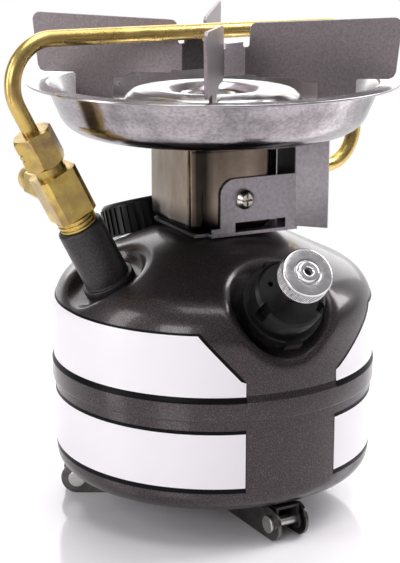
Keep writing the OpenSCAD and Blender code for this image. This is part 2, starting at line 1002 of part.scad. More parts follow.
// Outline of one wing, distance from the centre against height
module wing_2d() {
    r = 2.5;
    in_top = wing_top_z - 2;
    seg_z = wing_seg_z;
    low = bowl_z + bowl_wall;
    over_z = brim_z + 1.1;
    foot_r = bowl_low_r - bowl_arc - 1;
    side_r = bowl_low_r - 4.5;
    polygon([[wing_in, seg_z], [13, seg_z], [13.4, seg_z - 0.8], [25, seg_z - 0.8],
        [27.5, seg_z - 2.2], [foot_r - 6, seg_z - 2.2], [foot_r - 6, low + 2], [foot_r - 4.5, low],
        [foot_r, low], [foot_r + 2.5, low + 1.6], [side_r, low + 5], [side_r, over_z - 0.6],
        [side_r + 0.6, over_z], [wing_out - 3.4, over_z], [wing_out - 2, over_z + 0.6],
        [wing_out - 1.3, over_z + 2], [wing_out, wing_top_z - r], [wing_out - 0.5, wing_top_z - 0.9],
        [wing_out - 1.8, wing_top_z - 0.1], [wing_out - r, wing_top_z - 0.1],
        [wing_in + 3.6, in_top], [wing_in + 2.2, in_top - 0.5], [wing_in + 1.6, in_top - 1.8],
        [wing_in + 1.4, wing_mid_z - 1], [wing_in + 1, wing_mid_z - 1.6], [wing_in, wing_mid_z - 1.6]]);
}

// Two wings of one bent sheet and the slanting piece between them
module pot_piece() {
    seg_z = wing_seg_z;
    seg_h = wing_mid_z - seg_z;
    seg_l = wing_corner * sqrt(2) + wing_t;
    translate([0, -wing_shift + wing_t / 2, 0])
        rotate([90, 0, 0])
            linear_extrude(height = wing_t)
                wing_2d();
    translate([wing_shift - wing_t / 2, 0, 0])
        rotate([90, 0, -90])
            mirror([0, 0, 1])
                linear_extrude(height = wing_t)
                    wing_2d();
    translate([wing_shift + wing_corner / 2, -wing_shift - wing_corner / 2, 0])
        rotate([0, 0, 45])
            translate([-seg_l / 2, -wing_t / 2, 0])
                union() {
                    translate([0, 0, seg_z])
                        cube([seg_l, wing_t, seg_h - 1.6]);
                    translate([1.4, 0, seg_z])
                        cube([seg_l - 2.8, wing_t, seg_h]);
                }
}

module pot_support_front() {
    color([0.5, 0.48, 0.5])
        rotate([0, 0, wing_turn])
            pot_piece();
}

module pot_support_back() {
    color([0.5, 0.48, 0.5])
        rotate([0, 0, wing_turn + 180])
            pot_piece();
}

// Places children at a leg pin, X pointing inward
module at_leg(i) {
    rotate([0, 0, leg_az[i]])
        translate([leg_out, 0, leg_pin_z])
            rotate([0, 0, 180])
                children();
}

module leg_brackets() {
    gap = 0.2;
    w = leg_w - 2 * leg_t - 2 * gap;
    len = 8;
    top = tank_floor_z - leg_pin_z;
    color([0.2, 0.18, 0.18])
        for (i = [0:2])
            at_leg(i)
                difference() {
                    union() {
                        translate([-len / 2 + 2.4, -w / 2, top - leg_t])
                            cube([len, w, leg_t]);
                        for (y = [-w / 2, w / 2 - leg_t])
                            translate([-len / 2 + 2.4, y, 0])
                                cube([len - 1.5, leg_t, top]);
                        for (y = [-w / 2 + leg_t, w / 2])
                            translate([0, y, 0])
                                rotate([90, 0, 0])
                                    cylinder(r = 3.2, h = leg_t);
                    }
                    translate([0, w, 0])
                        rotate([90, 0, 0])
                            cylinder(r = pin_r + run_fit, h = 2 * w);
                }
}

module leg_pins() {
    head = pin_head_h;
    color([0.6, 0.58, 0.55])
        for (i = [0:2])
            at_leg(i)
                rotate([90, 0, 0])
                    union() {
                        bar(pin_r, -leg_w / 2, leg_w / 2);
                        bar(pin_r + pin_lip, leg_w / 2, leg_w / 2 + head);
                        bar(pin_r + pin_lip, -leg_w / 2 - head, -leg_w / 2);
                    }
}

// One folded leg lying inward, its pin at the origin
module leg() {
    r = leg_pin_z;
    difference() {
        union() {
            for (y = [-leg_w / 2 + leg_t, leg_w / 2])
                translate([0, y, 0])
                    rotate([90, 0, 0])
                        linear_extrude(height = leg_t)
                            union() {
                                circle(r = r);
                                polygon([[0, -r], [leg_len, -r], [leg_len, -r + 2],
                                    [leg_len - 3, -r + 3.2], [3.8, 3.2]]);
                            }
            translate([10, -leg_w / 2, -r])
                cube([leg_len - 10, leg_w, leg_t]);
        }
        translate([0, leg_w, 0])
            rotate([90, 0, 0])
                cylinder(r = pin_r + run_fit, h = 2 * leg_w);
    }
}

module leg_front() {
    color([0.5, 0.48, 0.46])
        at_leg(0)
            leg();
}

module leg_back() {
    color([0.5, 0.48, 0.46])
        at_leg(1)
            leg();
}

module leg_left() {
    color([0.5, 0.48, 0.46])
        at_leg(2)
            leg();
}

tank_lower();
tank_upper();
pump_neck();
pump_barrel();
pump_check_valve();
pump_cap();
pump_rod();
pump_cup();
pump_knob();
filler_neck();
filler_gasket();
filler_cap();
valve_boss();
fuel_pickup();
valve_body();
valve_bonnet();
valve_stem();
control_lever();
generator_nut();
generator_tube();
generator_jet();
base_plate();
centre_stud();
centre_nut();
burner_box();
bracket();
bracket_screw();
burner_bowl();
flame_rings_flat();
flame_rings_wave();
burner_crown();
burner_screw();
pot_support_front();
pot_support_back();
leg_brackets();
leg_pins();
leg_front();
leg_back();
leg_left();
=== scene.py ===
import json
import math
import bpy
import bmesh
import numpy as np
from mathutils import Matrix, Vector


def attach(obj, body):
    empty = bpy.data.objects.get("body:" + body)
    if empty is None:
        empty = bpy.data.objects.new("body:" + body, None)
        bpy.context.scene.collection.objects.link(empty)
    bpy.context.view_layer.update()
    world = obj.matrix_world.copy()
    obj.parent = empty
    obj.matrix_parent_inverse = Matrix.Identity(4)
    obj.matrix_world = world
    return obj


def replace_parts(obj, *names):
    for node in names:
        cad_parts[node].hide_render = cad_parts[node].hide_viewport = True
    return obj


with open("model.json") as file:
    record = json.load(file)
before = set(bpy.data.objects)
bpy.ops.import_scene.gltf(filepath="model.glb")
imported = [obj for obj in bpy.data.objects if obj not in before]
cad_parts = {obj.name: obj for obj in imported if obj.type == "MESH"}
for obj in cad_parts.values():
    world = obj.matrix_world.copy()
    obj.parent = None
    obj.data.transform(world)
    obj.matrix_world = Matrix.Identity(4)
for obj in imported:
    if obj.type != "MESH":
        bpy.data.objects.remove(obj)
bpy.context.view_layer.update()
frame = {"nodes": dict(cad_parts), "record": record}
nodes = frame["nodes"]

# Lengths are in millimetres and heights above the floor, unless a comment says otherwise
MM = 0.001
WHITE = (1.0, 1.0, 1.0)
# Burner box and bowl
BOX_W, BOX_D, BOX_CORNER = 28.0, 32.0, 4.0
BOX_FOOT_Z, BOWL_FOOT_Z, BRIM_Z = 88.0, 117.4, 132.7
BOX_TURN = math.radians(27)
BOX_HEADING = Vector((math.cos(BOX_TURN), math.sin(BOX_TURN), 0))
# Tank
UPPER_R, LOWER_R, SKIRT_R = 49.9, 49.8, 50.6
SHOULDER_Z, SHOULDER_R, SEAT_R, SEAT_Z, SLOPE = 67.5, 7.0, 16.7, 87.0, math.radians(25.4)
UPPER_FOOT_Z, SKIRT_TOP_Z = 46.0, 49.2


def lean(az, tilt):
    """Unit vector leaning from upright by a tilt towards a direction, both in degrees."""
    a, t = math.radians(az), math.radians(tilt)
    return np.array([math.sin(t) * math.cos(a), math.sin(t) * math.sin(a), math.cos(t)])


def polar(r, az, z):
    """Point at a radius, a direction in degrees and a height."""
    return np.array([r * math.cos(math.radians(az)), r * math.sin(math.radians(az)), z])


# Seats of pump, valve and filler on the tank, and their axes
PUMP_P, PUMP_D = polar(44.8, -63, 73.6), lean(-69, 51)
VALVE_P, VALVE_D = polar(37.6, 210, 77.0), lean(210, 27)
FILL_P, FILL_D = polar(33, 130, 78.4), lean(130, 18)


# Shader nodes
class Tree:
    """Short ways to make and join shader nodes."""

    def __init__(self, tree):
        self.t = tree

    def new(self, kind, **kw):
        n = self.t.nodes.new(kind)
        for k, v in kw.items():
            setattr(n, k, v)
        return n

    def feed(self, socket, v):
        """Gives an input a link, a colour or a number."""
        if isinstance(v, bpy.types.NodeSocket):
            self.t.links.new(v, socket)
        elif hasattr(v, "__len__"):
            socket.default_value = (v[0], v[1], v[2], 1)
        else:
            socket.default_value = v

    def split(self, vector):
        n = self.new("ShaderNodeSeparateXYZ")
        self.feed(n.inputs[0], vector)
        return n.outputs

    def dot(self, vector, direction):
        n = self.new("ShaderNodeVectorMath", operation="DOT_PRODUCT")
        n.inputs[1].default_value = direction
        self.feed(n.inputs[0], vector)
        return n.outputs["Value"]

    def calc(self, operation, *values):
        n = self.new("ShaderNodeMath", operation=operation)
        for socket, v in zip(n.inputs, values):
            self.feed(socket, v)
        return n.outputs["Value"]

    def span(self, value, lo, hi, to_lo=0.0, smooth=False):
        """Where a value lies between two others, from to_lo to 1."""
        n = self.new("ShaderNodeMapRange", interpolation_type="SMOOTHSTEP" if smooth else "LINEAR")
        for key, v in (("Value", value), ("From Min", lo), ("From Max", hi), ("To Min", to_lo)):
            self.feed(n.inputs[key], v)
        return n.outputs["Result"]

    def ramp(self, fac, stops):
        r = self.new("ShaderNodeValToRGB")
        els = r.color_ramp.elements
        while len(els) < len(stops):
            els.new(0.5)
        for e, (p, c) in zip(els, stops):
            e.position = p
            e.color = (c[0], c[1], c[2], 1) if hasattr(c, "__len__") else (c, c, c, 1)
        self.feed(r.inputs["Fac"], fac)
        return r.outputs["Color"]

    def mix(self, fac, a, b, blend="MIX"):
        n = self.new("ShaderNodeMix", data_type="RGBA", blend_type=blend)
        for i, v in ((0, fac), (6, a), (7, b)):
            self.feed(n.inputs[i], v)
        return n.outputs[2]


class Mat(Tree):
    """A material around one principled shader, patterned in object coordinates."""

    def __init__(self, name):
        self.m = bpy.data.materials.new(name)
        self.m.use_nodes = True
        super().__init__(self.m.node_tree)
        self.b = self.t.nodes["Principled BSDF"]
        at = self.new("ShaderNodeTexCoord")
        self.co, self.normal = at.outputs["Object"], at.outputs["Normal"]

    def noise(self, scale, detail=3.0, rough=0.5, stretch=None):
        n = self.new("ShaderNodeTexNoise")
        for key, v in (("Scale", scale), ("Detail", detail), ("Roughness", rough)):
            n.inputs[key].default_value = v
        co = self.co
        if stretch:
            mp = self.new("ShaderNodeMapping")
            mp.inputs["Scale"].default_value = stretch
            self.feed(mp.inputs["Vector"], co)
            co = mp.outputs["Vector"]
        self.feed(n.inputs["Vector"], co)
        return n.outputs["Fac"]

    def vary(self, scale, detail, a, b):
        """Wanders between two colours or greys."""
        return self.ramp(self.noise(scale, detail), [(0.3, a), (0.7, b)])

    def height(self, lo, hi):
        """0 at one height and 1 at another."""
        return self.span(self.split(self.co)["Z"], lo * MM, hi * MM)

    def set(self, **kw):
        for k, v in kw.items():
            self.feed(self.b.inputs[k.replace("_", " ")], v)

    def bump(self, height, strength, dist, under=False):
        """Relief in the surface, or under the relief that is there; the distance is in metres."""
        n = self.new("ShaderNodeBump")
        n.inputs["Strength"].default_value = strength
        n.inputs["Distance"].default_value = dist
        self.feed(n.inputs["Height"], height)
        top = self.b.inputs["Normal"]
        self.feed(top.links[0].from_node.inputs["Normal"] if under else top, n.outputs["Normal"])

    def base(self):
        return self.b.inputs["Base Color"].links[0].from_socket

    def shade(self, *tones):
        """Multiplies the base colour by greys."""
        colour = self.base()
        for tone in tones:
            colour = self.mix(1.0, colour, tone, "MULTIPLY")
        self.set(Base_Color=colour)


def metal(name, lo, hi, rough, scale, bump, bump_scale=900, stretch=None):
    """Metal that wanders between two colours and between two roughnesses, with fine relief."""
    m = Mat(name)
    tone = m.noise(scale, 5.0, 0.6, stretch)
    wear = m.noise(scale * 2.3, 4.0, 0.6, stretch)
    m.set(Metallic=1.0, Base_Color=m.ramp(tone, [(0.32, lo), (0.68, hi)]),
          Roughness=m.ramp(wear, [(0.3, rough[0]), (0.7, rough[1])]))
    m.bump(m.noise(bump_scale, 3.0, 0.6, stretch), bump, 0.00005)
    return m


# Dark metallic paint with fine flake
paint = Mat("tank_paint_look")
flake = paint.noise(3900, 1.5, 0.6)
patchy = paint.ramp(paint.noise(35, 4, 0.6), [(0.3, 0.85), (0.7, 1.1)])
tone = paint.ramp(flake, [(0.34, (0.020, 0.0156, 0.0164)), (0.52, (0.040, 0.0316, 0.0332)),
                          (0.70, (0.112, 0.091, 0.095))])
paint.set(Base_Color=paint.mix(1.0, tone, patchy, "MULTIPLY"), Metallic=0.55,
          Roughness=paint.vary(80, 4, 0.27, 0.33),
          Specular_IOR_Level=0.4, Coat_Weight=0.3, Coat_Roughness=0.08)
paint.bump(flake, 0.14, 0.00004)

# Satin paint of the bosses
boss = Mat("boss_paint_look")
boss.set(Base_Color=boss.ramp(boss.noise(1400, 5), [(0.35, (0.016, 0.0145, 0.015)),
                                                    (0.7, (0.042, 0.038, 0.039))]),
         Metallic=0.3, Roughness=boss.vary(300, 4, 0.36, 0.5))
boss.bump(boss.noise(2600, 3), 0.25, 0.00006)

# Drawn brass with heat stains, and fittings whose patina is stronger up at the nut
tube_brass = metal("brass_tube_look", (0.50, 0.35, 0.10), (0.74, 0.55, 0.21), (0.22, 0.36), 55, 0.12)
stain = tube_brass.ramp(tube_brass.noise(28, 6, 0.65), [(0.58, 0.0), (0.72, 0.75)])
tube_brass.set(Base_Color=tube_brass.mix(stain, tube_brass.base(), (0.36, 0.22, 0.07)))
fit_brass = metal("brass_fitting_look", (0.40, 0.28, 0.075), (0.72, 0.54, 0.155), (0.24, 0.42), 90, 0.25)
patina = fit_brass.ramp(fit_brass.noise(140, 5, 0.65), [(0.40, 0.0), (0.62, 0.6)])
strong = fit_brass.ramp(patina, [(0.0, 0.25), (0.6, 0.95)])
worn = fit_brass.mix(fit_brass.height(114, 118), patina, strong)
fit_brass.set(Base_Color=fit_brass.mix(worn, fit_brass.base(), (0.30, 0.195, 0.105)))

# Pressed bowl, darker towards its foot and blotched
bowl_m = metal("bowl_look", (0.28, 0.26, 0.27), (0.46, 0.43, 0.445), (0.11, 0.22), 900, 0.16, 2200, (1, 1, 1.6))
bowl_m.shade(bowl_m.ramp(bowl_m.height(BOWL_FOOT_Z, BRIM_Z),
                         [(0.0, 0.3), (0.12, 0.55), (0.3, 1.0), (0.62, 0.8), (0.8, 1.0)]),
             bowl_m.ramp(bowl_m.noise(45, 6, 0.7), [(0.36, 0.5), (0.56, 1.0)]))
bright = metal("crown_look", (0.34, 0.325, 0.333), (0.53, 0.51, 0.52), (0.16, 0.3), 60, 0.05)

# Sheet steel of the pot support, and for its two middle strips a dark copy that paints shade on the back
# support's strip and a light copy that paints light on the front one's
wing_m = metal("wing_look", (0.225, 0.195, 0.205), (0.325, 0.285, 0.298), (0.40, 0.5), 1500, 0.35, 3200)
strip_painted_shade = metal("middle_painted_shade_look", (0.075, 0.066, 0.069), (0.125, 0.11, 0.115), (0.4, 0.5), 1500, 0.35, 3200)
strip_painted_light = metal("middle_painted_light_look", (0.62, 0.55, 0.575), (0.84, 0.76, 0.79), (0.36, 0.46), 1500, 0.35, 3200)

# Heat-tinted box with painted shade in bands near one corner and along its far edge, darker towards its foot,
# and with gently wavy walls
box_m = metal("box_look", (0.15, 0.108, 0.078), (0.31, 0.255, 0.205), (0.12, 0.26), 60, 0.4, 1100, (1, 1, 0.6))
across = box_m.calc("ADD", box_m.dot(box_m.co, BOX_HEADING / (BOX_W * MM)), 0.5)
# Painted shade across the width: a dark band near one corner and another at the far edge
box_m.shade(box_m.ramp(across, [(0.0, 1.0), (0.02, 0.7), (0.06, 0.14), (0.16, 0.11), (0.27, 0.8), (0.7, 1.05),
                                (0.9, 0.6), (1.0, 0.2)]),
            box_m.ramp(box_m.height(BOX_FOOT_Z, 96.5), [(0.0, 0.06), (0.45, 0.3), (1.0, 1.0)]))
box_m.bump(box_m.noise(48, 1.5, 0.4, (1, 1, 0.35)), 0.9, 0.004, under=True)

# Bracket with painted shade on the faces turned towards the box's far side, which sit in a recess
brk_m = metal("bracket_look", (0.31, 0.288, 0.305), (0.42, 0.392, 0.414), (0.36, 0.48), 900, 0.35, 2600)
brk_m.shade(brk_m.span(brk_m.dot(brk_m.normal, BOX_HEADING), -0.9, -0.75, 0.16))

screw_m = metal("screw_look", (0.34, 0.31, 0.27), (0.66, 0.62, 0.56), (0.14, 0.28), 500, 0.15)
plated = metal("plated_look", (0.55, 0.54, 0.52), (0.7, 0.69, 0.67), (0.25, 0.4), 200, 0.15)
alu = metal("knob_look", (0.60, 0.585, 0.59), (0.82, 0.80, 0.81), (0.14, 0.24), 260, 0.12, 1600)
leg_m = metal("leg_look", (0.09, 0.082, 0.08), (0.19, 0.176, 0.172), (0.24, 0.4), 130, 0.25)

# Plastic, leather and rubber
black = Mat("black_plastic_look")
black.set(Base_Color=black.vary(150, 4, (0.003, 0.003, 0.003), (0.007, 0.0065, 0.0065)),
          Roughness=black.vary(400, 4, 0.3, 0.42), Specular_IOR_Level=0.22)
black.bump(black.noise(3500, 2), 0.2, 0.00005)
leather = Mat("leather_look")
leather.set(Base_Color=leather.vary(300, 6, (0.16, 0.09, 0.04), (0.26, 0.15, 0.07)), Roughness=0.7)
leather.bump(leather.noise(1800, 4), 0.5, 0.0001)
rubber = Mat("rubber_look")
rubber.set(Base_Color=rubber.vary(200, 4, (0.02, 0.02, 0.02), (0.04, 0.04, 0.04)), Roughness=0.75)
rubber.bump(rubber.noise(1500, 3), 0.3, 0.0001)

# Print of the labels
white = Mat("label_white_look")
white.set(Base_Color=white.vary(25, 3, (0.80, 0.77, 0.80), (0.83, 0.80, 0.83)),
          Roughness=white.vary(60, 3, 0.28, 0.36))
white.bump(white.noise(900, 2), 0.05, 0.00005)
ink = Mat("label_black_look")
ink.set(Base_Color=ink.vary(60, 3, (0.003, 0.003, 0.003), (0.006, 0.006, 0.006)),
        Roughness=ink.vary(90, 3, 0.3, 0.4), Specular_IOR_Level=0.06)

looks = {"tank_paint": paint, "boss_paint": boss, "brass_tube": tube_brass, "brass_fitting": fit_brass,
         "bowl_steel": bowl_m, "crown_steel": bright, "wing_steel": wing_m, "box_steel": box_m,
         "bracket_steel": brk_m, "screw_steel": screw_m, "plated_steel": plated, "knob_metal": alu,
         "black_plastic": black, "cup_leather": leather, "gasket_rubber": rubber, "leg_steel": leg_m}
slot_of = {s["node"]: s["material_slot"] for s in frame["record"]["subparts"]}


def bevel(o, width, angle):
    """Rounds the edges that are sharper than an angle in degrees."""
    b = o.modifiers.new("edge", "BEVEL")
    b.width = width * MM
    b.segments = 3
    b.limit_method = "ANGLE"
    b.angle_limit = math.radians(angle)
    b.use_clamp_overlap = True
    b.harden_normals = True


# Pieces that keep their solid's shape, with small rounded edges
BEVEL = {"bracket": 0.2, "base_plate": 0.2, "bracket_screw": 0.12, "burner_screw": 0.2,
         "valve_body": 0.35, "valve_bonnet": 0.2, "generator_nut": 0.2, "valve_boss": 0.3, "control_lever": 0.5,
         "pump_cap": 0.35, "filler_cap": 0.15,
         "leg_front": 0.2, "leg_back": 0.2, "leg_left": 0.2, "leg_brackets": 0.15, "leg_pins": 0.25}
for name, o in nodes.items():
    o.data.materials.clear()
    o.data.materials.append(looks[slot_of[name]].m)
    if name in BEVEL:
        joined = o.modifiers.new("weld", "WELD")
        joined.merge_threshold = 0.000002
        flat = o.modifiers.new("flat", "DECIMATE")
        flat.decimate_type = "DISSOLVE"
        flat.angle_limit = math.radians(0.5)
        bevel(o, BEVEL[name], 40)


# Mesh helpers
def put(name, verts, faces, mat, body="stove", smooth=True):
    me = bpy.data.meshes.new(name)
    me.from_pydata([tuple(v) for v in verts], [], [tuple(int(i) for i in f) for f in faces])
    me.materials.append(mat.m)
    me.update()
    if smooth:
        me.polygons.foreach_set("use_smooth", [True] * len(me.polygons))
    o = bpy.data.objects.new(name, me)
    bpy.context.collection.objects.link(o)
    if body:
        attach(o, body)
    return o


def unit(v):
    return v / np.linalg.norm(v)


def rounded(path, radii, step=12, share=0.49):
    """A path of points with each inner corner rounded by its radius, over no more than a share of each run."""
    out = [np.array(path[0], float)]
    for i in range(1, len(path) - 1):
        a, p, b = (np.array(path[k], float) for k in (i - 1, i, i + 1))
        if not radii[i]:
            out.append(p)
            continue
        u, v = unit(a - p), unit(b - p)
        half = math.acos(max(-1, min(1, float(u @ v)))) / 2
        d = min(radii[i] / math.tan(half), share * np.linalg.norm(a - p), share * np.linalg.norm(b - p))
        mid = p + unit(u + v) * d * math.tan(half) / math.sin(half)
        s, e = p + u * d - mid, p + v * d - mid
        turn = math.pi - 2 * half
        n = max(2, int(math.degrees(turn) / step))
        for t in (k / n for k in range(n + 1)):
            out.append(mid + (s * math.sin((1 - t) * turn) + e * math.sin(t * turn)) / math.sin(turn))
    out.append(np.array(path[-1], float))
    return np.array(out)


def grid(rows, cols, wrap_rows=False, wrap_cols=False, flip=False):
    """Quads between neighbours in a grid of points that is stored row by row."""
    faces = []
    for r in range(rows if wrap_rows else rows - 1):
        for c in range(cols if wrap_cols else cols - 1):
            r2, c2 = (r + 1) % rows, (c + 1) % cols
            a, b, d, e = r * cols + c, r * cols + c2, r2 * cols + c2, r2 * cols + c
            faces.append((a, e, d, b) if flip else (a, b, d, e))
    return faces


def circle(seg):
    return np.linspace(0, 2 * np.pi, seg, endpoint=False)


def weld(me):
    """Joins doubled points and turns the faces outwards."""
    bm = bmesh.new()
    bm.from_mesh(me)
    bmesh.ops.remove_doubles(bm, verts=bm.verts, dist=1e-7)
    bmesh.ops.recalc_face_normals(bm, faces=bm.faces)
    bm.to_mesh(me)
    bm.free()


def lathe(name, path, mat, seg=256, body="stove"):
    """Turns a closed half section about the upright axis."""
    n, a = len(path), circle(seg)
    v = np.stack([np.outer(np.cos(a), path[:, 0]), np.outer(np.sin(a), path[:, 0]),
                  np.repeat(path[None, :, 1], seg, 0)], -1).reshape(-1, 3) * MM
    faces = [f for f in grid(seg, n, True, True, True) if path[f[0] % n, 0] or path[f[3] % n, 0]]
    o = put(name, v, faces, mat, body)
    weld(o.data)
    return o


def sweep(name, pts, r, mat, seg=48, body="stove"):
    """Round bar along a list of points."""
    pts = np.array(pts, float)
    tan = np.gradient(pts, axis=0)
    tan /= np.linalg.norm(tan, axis=1)[:, None]
    ref, a, v = np.array([0.3, -0.8, 0.1]), circle(seg), []
    for p, t in zip(pts, tan):
        ref = unit(ref - t * (ref @ t))
        v.append(p + r * (np.outer(np.cos(a), ref) + np.outer(np.sin(a), np.cross(t, ref))))
    faces = grid(len(pts), seg, wrap_cols=True)
    faces.append(tuple(range(seg))[::-1])
    faces.append(tuple((len(pts) - 1) * seg + k for k in range(seg)))
    return put(name, np.concatenate(v) * MM, faces, mat, body)


# Tank upper shell: a soft implicit surface of wall, dome and three sunk pockets
# Pockets: centre, axis, radius, floor, softness of rim and of floor corner, reach of the cutter
POCKETS = [(PUMP_P + np.array([0, 0, 1.0]), PUMP_D, 13.8, -11.0, 5.5, 5.0, 40),
           (VALVE_P, VALVE_D, 12.0, -4.0, 4.5, 3.0, 30),
           (FILL_P, FILL_D, 16.3, 0.0, 3.0, 2.0, 30)]
SHOULDER_BLEND, SEAT_BLEND, FOOT_BLEND = 9.0, 4.0, 0.05
VOXEL, VOXEL_QUICK = 0.55, 1.2
PULLS, PULL_MOST = 14, 0.6


def smin(a, b, k):
    h = np.clip(0.5 + 0.5 * (b - a) / k, 0, 1)
    return b + (a - b) * h - k * h * (1 - h)


def smax(a, b, k):
    return -smin(-a, -b, k)


def tank_f(p):
    """Below 0 inside the upper shell's outer form."""
    r = np.hypot(p[:, 0], p[:, 1])
    z = p[:, 2]
    dome_r = UPPER_R - SHOULDER_R + SHOULDER_R * math.sin(SLOPE)
    dome_z = SHOULDER_Z + SHOULDER_R * math.cos(SLOPE)
    dome = (r - dome_r) * math.sin(SLOPE) + (z - dome_z) * math.cos(SLOPE)
    f = smax(r - UPPER_R, dome, SHOULDER_BLEND)
    f = smax(f, z - SEAT_Z, SEAT_BLEND)
    f = smax(f, UPPER_FOOT_Z - z, FOOT_BLEND)
    for centre, axis, radius, floor_s, rim, corner, _ in POCKETS:
        q = p - centre
        s = q @ axis
        off = np.sqrt(np.maximum((q * q).sum(1) - s * s, 1e-9))
        f = smax(f, -smax(off - radius, floor_s - s, corner), rim)
    return f


def grad(fun, p, h=0.02):
    g = np.zeros_like(p)
    for i in range(3):
        e = np.zeros(3)
        e[i] = h
        g[:, i] = (fun(p + e) - fun(p - e)) / (2 * h)
    return g


def cutter(centre, axis, radius, floor_s, length):
    """A flaring plug that cuts the rough shape of a pocket."""
    bm = bmesh.new()
    bmesh.ops.create_cone(bm, cap_ends=True, segments=96, radius1=radius * MM, radius2=(radius + 2) * MM,
                          depth=length * MM)
    me = bpy.data.meshes.new("cutter")
    bm.to_mesh(me)
    bm.free()
    o = bpy.data.objects.new("cutter", me)
    bpy.context.collection.objects.link(o)
    middle = Vector((centre + axis * (floor_s + length / 2)) * MM)
    o.matrix_world = Matrix.Translation(middle) @ Vector(axis).to_track_quat("Z", "Y").to_matrix().to_4x4()
    return o


def tank_skin():
    path = [(0, UPPER_FOOT_Z), (UPPER_R, UPPER_FOOT_Z), (UPPER_R, SHOULDER_Z)]
    for a in np.radians(range(90, 25, -8)):
        path.append((UPPER_R - SHOULDER_R + SHOULDER_R * math.sin(a), SHOULDER_Z + SHOULDER_R * math.cos(a)))
    path += [(SEAT_R, SEAT_Z), (0, SEAT_Z)]
    rough = lathe("tank_base_shape", np.array(path, float), paint, 192, None)
    cutters = [cutter(centre, axis, radius, floor_s, reach)
               for centre, axis, radius, floor_s, _, _, reach in POCKETS]
    for c in cutters:
        b = rough.modifiers.new("cut", "BOOLEAN")
        b.operation = "DIFFERENCE"
        b.solver = "EXACT"
        b.object = c
    even = rough.modifiers.new("vox", "REMESH")
    even.mode = "VOXEL"
    even.voxel_size = VOXEL * MM
    dg = bpy.context.evaluated_depsgraph_get()
    me = bpy.data.meshes.new_from_object(rough.evaluated_get(dg))
    for o in cutters + [rough]:
        bpy.data.objects.remove(o, do_unlink=True)
    co = np.zeros(len(me.vertices) * 3)
    me.vertices.foreach_get("co", co)
    p = co.reshape(-1, 3) / MM
    for _ in range(PULLS):
        g = grad(tank_f, p)
        steep = np.maximum((g * g).sum(1), 0.05)
        p = p - (np.clip(tank_f(p), -PULL_MOST, PULL_MOST) / steep)[:, None] * g
    me.vertices.foreach_set("co", (p * MM).ravel())
    me.materials.clear()
    me.materials.append(paint.m)
    me.polygons.foreach_set("use_smooth", [True] * len(me.polygons))
    me.update()
    o = bpy.data.objects.new("tank_upper_skin", me)
    bpy.context.collection.objects.link(o)
    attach(o, "stove")
    return o


skin = tank_skin()
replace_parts(skin, "tank_upper")
lathe("tank_skirt",
      rounded([(49.0, SKIRT_TOP_Z), (UPPER_R, 48.6), (SKIRT_R, 46.6), (50.65, 41.0), (49.9, 40.7)],
              [0, 0.8, 0.8, 0.4, 0], 10), paint)
low = lathe("tank_lower_skin",
            rounded([(0, 10.5), (30, 10.5), (42, 10.7), (LOWER_R, 13.5), (LOWER_R, 46.9), (49.0, 46.9),
                     (49.0, 14.1), (41.8, 11.5), (30, 11.3), (0, 11.3)],
                    [0, 5, 6, 7, 0.2, 0.2, 6, 5, 4, 0], 6), paint)
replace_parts(low, "tank_lower")

# Bowl with a bright inside and brim, and the crown
bowl = lathe("bowl_skin",
             rounded([(11, BOWL_FOOT_Z), (44.55, BOWL_FOOT_Z), (50.4, 131.8), (51.1, 132.0), (56.3, 132.0),
                      (56.3, BRIM_Z), (50.5, BRIM_Z), (49.6, 131.9), (44.08, 118.1), (11, 118.1)],
                     [0, 9, 0.9, 0.4, 0.2, 0.2, 1.0, 0.7, 8.3, 0], 5), bowl_m)
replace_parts(bowl, "burner_bowl")
bowl.data.materials.append(bright.m)
for f in bowl.data.polygons:
    if f.normal.z > 0.1 or f.center.z > 131.5 * MM:
        f.material_index = 1
crown = lathe("crown_skin",
              rounded([(2.05, 123.0), (10.3, 123.0), (11.9, 127.9), (15, 130.1), (19, 130.3), (24.5, 129.6),
                       (26.4, 128.0), (27.4, 125.7), (29.5, 125.2), (29.5, 124.5), (26.9, 125.0), (25.6, 127.5),
                       (24, 128.9), (19, 129.6), (15.3, 129.3), (12.6, 127.3), (11.0, 122.3), (2.05, 122.3)],
                      [0, 0.8, 2.5, 3, 8, 3, 1.5, 0.8, 0.25, 0.25, 1, 1, 3, 7, 3, 2, 0.8, 0], 10), bright)
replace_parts(crown, "burner_crown")

# Preheat tube from the nut over the burner and down to the jet
TUBE_R, TUBE_START, TUBE_STEP = 2.38, 46.0, 1.5
TUBE_TOP_Z, TUBE_FAR_Z, TUBE_LOW_Z = 147.5, 145.5, 100.5
TUBE_OUT, JET_R, TUBE_AZ = 61.3, 23, 40.6
c1 = VALVE_P + VALVE_D * (TUBE_TOP_Z - VALVE_P[2]) / VALVE_D[2]
c2 = polar(TUBE_OUT, TUBE_AZ, TUBE_FAR_Z)
c3 = polar(TUBE_OUT, TUBE_AZ, TUBE_LOW_Z)
c4 = polar(JET_R, TUBE_AZ, TUBE_LOW_Z)
route = rounded([VALVE_P + VALVE_D * TUBE_START, c1, c2, c3, c4], [0, 13, 12, 12, 0], 4, 0.9)
dense = [route[0]]
for a, b in zip(route[:-1], route[1:]):
    k = max(1, int(np.linalg.norm(b - a) / TUBE_STEP))
    dense += [a + (b - a) * i / k for i in range(1, k + 1)]
tube = sweep("preheat_tube", dense, TUBE_R, tube_brass)
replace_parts(tube, "generator_tube")

# Pump knob with a cross-knurled edge, turned about the pump axis, with painted shade in its knurl grooves and
# centre hole
KNOB_R, KNOB_SEG = 7.5, 480
KNURL_COUNT, KNURL_RISE, KNURL_WIDTH, KNURL_DEPTH, KNURL_SHADE_DEPTH = 56, 0.84, 0.34, 0.4, 0.2


def groove(x):
    """1 in the middle of a groove and 0 beside it, with a groove at each whole number."""
    return np.clip(1 - np.abs(x - np.round(x)) / KNURL_WIDTH, 0, 1)


